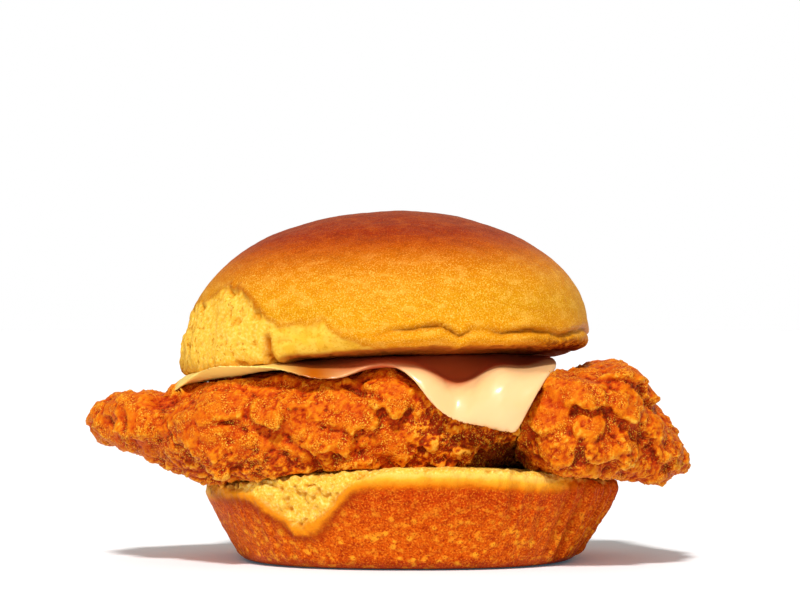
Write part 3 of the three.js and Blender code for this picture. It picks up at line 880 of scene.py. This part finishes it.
def make_strip(node, name, others, front, crevices, crumbly_at, reach, seed):
    """A strip with overlapping plates, knobs and crumbs of breading, clear of the other pieces."""
    rng = np.random.default_rng(seed)
    core = Skin(remeshed(rounded_solid(node, 1), CORE_VOXEL))
    core.relax(5)
    core.points[:, 0] -= reach * ramp(core.points[:, 0], 28, 21) * ramp(core.points[:, 2], 16, 20)
    normals = core.normals()
    free = ramp(clearance(core.points, others), 0.3, 1.8)
    points = core.points.copy()
    large = list(front_plates(points, normals, front))
    large += scattered_plates(points, normals, PLATE_SPACING, PLATE_LENGTHS, PLATE_LIFTS, rng)
    height = highest(points, normals, large, 40) + 0.34 * terraces(points, 4.6, 43)
    height -= ROOM_FOR_PLATES * free
    height -= highest(points, normals, front_plates(points, normals, crevices), 47)
    down = np.array([0.0, 0.0, -1.0]) + normals * normals[:, 2:]
    core.points += height[:, None] * (normals + DROOP * down)
    core.write()

    skin = Skin(remeshed(core.mesh, BREADING_VOXEL))
    skin.relax(1)
    points = skin.points.copy()
    crumbly = crumbly_at(points)
    # The cleft is both pushed in and painted dark as painted shade
    cleft = bell(points[:, 0] - CLEFT_X, 5) * ramp(points[:, 2], 22.5, 18.5)
    rough = ramp(waves(points, 4, 54), -0.6, 0.5)
    skin.push(
        0.38 * crumbly * terraces(points, 2.6, 48)
        - 1.2 * cleft
        + 0.1 * waves(points, 1.6, 55)
        + (0.08 + 0.12 * rough) * waves(points, 0.85, 56)
        + (0.03 + 0.03 * rough) * rng.standard_normal(len(points))
    )
    skin.keep_off(others, 0.05)
    # Fine and broad relief, which the colours follow as painted shade in hollows and painted light on what
    # stands out
    skin.mark("raised", 0.5 + np.clip(skin.hollow(4) / 0.45, -0.5, 0.5))
    skin.mark("broad", 0.5 + np.clip(skin.hollow(40) / 2.0, -0.5, 0.5))
    skin.mark("crumbly", crumbly)
    skin.mark("cleft", cleft)
    finish_piece(skin, name, node, breading_paint(name))


def left_crumbs(points):
    """How crumbly the left strip is: most low down and under the hanging cheese."""
    x, _, z = points.T
    low = 0.8 * ramp(z, 21, 16.5) * ramp(x, -50, -40)
    under_cheese = ramp(x, -3, 3) * ramp(z, 29, 26)
    return np.clip(low + under_cheese, 0, 1)


def right_crumbs(points):
    """How crumbly the right strip is: most low down."""
    return 0.1 + 0.4 * ramp(points[:, 2], 26, 20)


def breading_paint(name):
    paint = Paint(name)
    grain = paint.noise(0.24, 2)
    coarse = paint.noise(0.8, 4)
    raised = -0.305
    reliefs = [paint.mark("raised"), paint.mark("broad"), paint.noise(5, 3), coarse]
    for value, part in zip(reliefs, BREADING_SHARES):
        raised = paint.maths("ADD", raised, paint.times(value, part))
    fried = paint.shades(raised, BREADING_SHADES)
    # Painted shade in the crumbly zones' hollows, low down and under the hanging cheese
    sunk_shade = paint.times(paint.mark("crumbly"), paint.between(raised, 0.62, 0.38))
    fried = paint.over(fried, colour(144, 34, 8), sunk_shade, 0.6)
    # Painted shade in the cleft between the strips
    fried = paint.over(fried, colour(84, 16, 5), paint.mark("cleft"), 0.85)
    # Light flecks and dark pits: the breading's grain, partly painted glints on its tops and painted shade
    # in its pits
    sandy = paint.between(paint.noise(2.6, 3), 0.42, 0.62)
    flecks = paint.times(paint.between(grain, 0.53, 0.68), paint.ranged(sandy, 0.12, 1))
    pits = paint.times(paint.between(grain, 0.47, 0.32), paint.ranged(sandy, 0.12, 0.95))
    fried = paint.over(fried, colour(246, 182, 60), flecks)
    fried = paint.over(fried, colour(170, 41, 5), pits)
    lumps = paint.relief(coarse, 0.3, 0.8)
    paint.set(
        Base_Color=fried,
        Roughness=0.5,
        Specular_IOR_Level=0.18,
        Specular_Tint=(1.0, 0.65, 0.2, 1.0),
        Normal=paint.relief(grain, 0.25, paint.ranged(sandy, 0.45, 1), lumps),
        Subsurface_Weight=0.04,
        Subsurface_Scale=0.8 * MM,
        Subsurface_Radius=(1.0, 0.3, 0.06),
    )
    return paint.material


# Cheese

# Folds in the hanging front of the slice: x and height of the middle, how far x moves for each step up,
# half the width, half the length, and how far the fold stands out
CHEESE_FOLDS = [
    (14.8, 28, 0.12, 2.4, math.inf, 0.5),
    (8.2, 28, 0.2, 2.2, math.inf, -0.35),
    (6.4, 30.5, -0.55, 0.5, 1.8, -0.25),
    (10.6, 31, 0.5, 0.45, 1.6, -0.25),
]

# The sagging lobe at the left of the front: its place, and half its width
LOBE_X = -15.5
LOBE_WIDTH = 5.5


def under_crown(x, y):
    """Height of the crown's cut face over a place."""
    up = np.array(CROWN_TURN)[:, 2]
    return CROWN_ORIGIN[2] - (up[0] * (x - CROWN_ORIGIN[0]) + up[1] * y) / up[2]


def make_cheese():
    skin = Skin(rounded_solid("cheese_slice", 2))
    x, y, z = skin.points.T.copy()
    normals = skin.normals()
    hanging_front = ramp(y, -25, -29) * (normals[:, 1] < 0)
    folds = np.zeros(len(x))
    for middle, height, lean, width, length, lift in CHEESE_FOLDS:
        up = z - height
        folds += lift * bell(x - middle - lean * up, width) * bell(up, length)
    skin.push(hanging_front * folds + 0.08 * waves(skin.points, 6, 61))

    crown_radius = np.hypot(x - CROWN_ORIGIN[0], y)
    hidden_top = ramp(normals[:, 2], 0.2, 0.5) * ramp(crown_radius, 27, 21)
    skin.points[:, 2] += hidden_top * np.clip(under_crown(x, y) - 0.1 - z, 0, 4)
    # The slice's left part: raised underneath, and painted lighter as painted light where it lies in the
    # crown's shadow
    band = ramp(x, -10, -18)
    underside = ramp(normals[:, 2], 0.1, -0.5)
    skin.points[:, 2] += 0.5 * band * ramp(x, -37, -31) * underside
    # The inside of the sagging lobe is painted orange-brown as painted shade under the crown
    inside_lobe = np.maximum(ramp(y, -31.3, -30.7), ramp(z, 32.0, 32.4))
    # Painted shade on the slice where it lies under the crown
    skin.mark("shade_under_crown", ramp(crown_radius, 31.5, 28.5))
    skin.mark("sunk_shade", bell(x - LOBE_X, LOBE_WIDTH) * inside_lobe)
    skin.mark("band", band)
    finish_piece(skin, "cheese_slice_melted", "cheese_slice", cheese_paint())


def cheese_paint():
    paint = Paint("cheese")
    tone = paint.mix(paint.noise(9, 2), colour(247, 203, 146), colour(242, 188, 122))
    # Painted light on the slice's left band
    tone = paint.over(tone, colour(255, 222, 118), paint.mark("band"))
    # Painted shade under the crown
    tone = paint.over(tone, colour(200, 86, 30), paint.mark("shade_under_crown"))
    # Painted shade inside the sagging lobe
    tone = paint.over(tone, colour(186, 92, 4), paint.mark("sunk_shade"))
    paint.set(
        Base_Color=tone,
        Roughness=paint.ranged(paint.mark("shade_under_crown"), 0.3, 0.9),
        Normal=paint.relief(paint.noise(3, 2), 0.05, 0.5),
        Specular_IOR_Level=0.4,
        Subsurface_Weight=0.12,
        Subsurface_Scale=1.2 * MM,
        Subsurface_Radius=(1.0, 0.6, 0.25),
        Coat_Weight=0.15,
        Coat_Roughness=0.12,
    )
    return paint.material


# The sandwich


def finish_piece(skin, name, node, material):
    """Writes a skin as a piece of the sandwich in place of its solid."""
    skin.write()
    skin.mesh.shade_smooth()
    piece = linked(name, skin.mesh)
    piece.data.materials.clear()
    piece.data.materials.append(material)
    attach(piece, "root")
    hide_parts(node)


make_heel()
make_crown()
make_cheese()
make_strip(
    "chicken_strip_left",
    "chicken_left_breaded",
    others=["bun_heel", "bun_crown", "cheese_slice", "chicken_strip_right"],
    front=LEFT_PLATES + list(foot_plates(np.random.default_rng(3))),
    crevices=LEFT_CREVICES,
    crumbly_at=left_crumbs,
    reach=0,
    seed=1,
)
make_strip(
    "chicken_strip_right",
    "chicken_right_breaded",
    others=["bun_heel", "bun_crown", "cheese_slice", "chicken_strip_left"],
    front=RIGHT_PLATES,
    crevices=RIGHT_CREVICES,
    crumbly_at=right_crumbs,
    reach=RIGHT_REACH,
    seed=2,
)


# Studio

# Lights so far away that all rays of one run the same way: name, strength, spread in degrees,
# direction and tint
SUNS = [
    ("key", 2.85, 8, (0.1, 0.78, -1.0), (1, 1, 1)),
    ("front", 0.8, 50, (0.25, 1.0, -0.25), (1, 1, 1)),
    ("back", 0.4, 60, (-0.3, -1.0, -0.3), (1, 0.72, 0.4)),
]

# Light from the sky: its strength at the horizon and overhead, and its colour
SKY_LOW = 0.1
SKY_HIGH = 0.45
SKY_COLOUR = (1, 0.985, 0.96, 1)

# The camera's place and the point it looks at, and its sensor's width and focal length
EYE = Vector((-1.55, -520, 40))
AIM = Vector((-1.55, 0, 44.45))
SENSOR_WIDTH = 36
FOCAL_LENGTH = 135.7


def make_floor():
    """A pale floor with a faint blue glow, which keeps the warm shadow on it grey."""
    bpy.ops.mesh.primitive_plane_add(size=40)
    floor = bpy.context.object
    floor.name = "floor"
    paint = Paint("floor")
    paint.set(Base_Color=(0.97, 0.97, 0.97, 1), Roughness=0.9, Specular_IOR_Level=0.1)
    paint.set(Emission_Color=(0.25, 0.7, 1.0, 1), Emission_Strength=0.06)
    floor.data.materials.append(paint.material)
    floor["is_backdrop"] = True


def make_sun(name, energy, spread, direction, tint):
    light = bpy.data.lights.new(name, "SUN")
    light.energy = energy
    light.angle = math.radians(spread)
    light.color = tint
    lamp = bpy.data.objects.new(name, light)
    lamp.rotation_euler = Vector(direction).to_track_quat("-Z", "Y").to_euler()
    bpy.context.scene.collection.objects.link(lamp)


def make_sky():
    """A white backdrop, with dim light from overhead that fades towards the horizon."""
    world = bpy.data.worlds.new("studio")
    world.use_nodes = True
    tree = world.node_tree
    place = tree.nodes.new("ShaderNodeTexCoord")
    parts = tree.nodes.new("ShaderNodeSeparateXYZ")
    level = tree.nodes.new("ShaderNodeMapRange")
    level.inputs["To Min"].default_value = SKY_LOW
    level.inputs["To Max"].default_value = SKY_HIGH
    sky = tree.nodes.new("ShaderNodeBackground")
    sky.inputs["Color"].default_value = SKY_COLOUR
    backdrop = tree.nodes["Background"]
    backdrop.inputs["Color"].default_value = (1, 1, 1, 1)
    ray = tree.nodes.new("ShaderNodeLightPath")
    seen = tree.nodes.new("ShaderNodeMixShader")
    tree.links.new(place.outputs["Generated"], parts.inputs[0])
    tree.links.new(parts.outputs["Z"], level.inputs["Value"])
    tree.links.new(level.outputs[0], sky.inputs["Strength"])
    tree.links.new(ray.outputs["Is Camera Ray"], seen.inputs[0])
    tree.links.new(sky.outputs[0], seen.inputs[1])
    tree.links.new(backdrop.outputs[0], seen.inputs[2])
    tree.links.new(seen.outputs[0], tree.nodes["World Output"].inputs["Surface"])
    bpy.context.scene.world = world


def make_camera():
    data = bpy.data.cameras.new("camera")
    data.sensor_width = SENSOR_WIDTH
    data.lens = FOCAL_LENGTH
    camera = bpy.data.objects.new("camera", data)
    camera.location = EYE * MM
    camera.rotation_euler = (AIM - EYE).to_track_quat("-Z", "Y").to_euler()
    bpy.context.scene.collection.objects.link(camera)
    bpy.context.scene.camera = camera


make_floor()
for sun in SUNS:
    make_sun(*sun)
make_sky()
make_camera()
bpy.context.scene.view_settings.view_transform = "Standard"

boxes = {"cad": cad_box, "visual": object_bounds()}
{name: [list(corner) for corner in box] for name, box in boxes.items()}
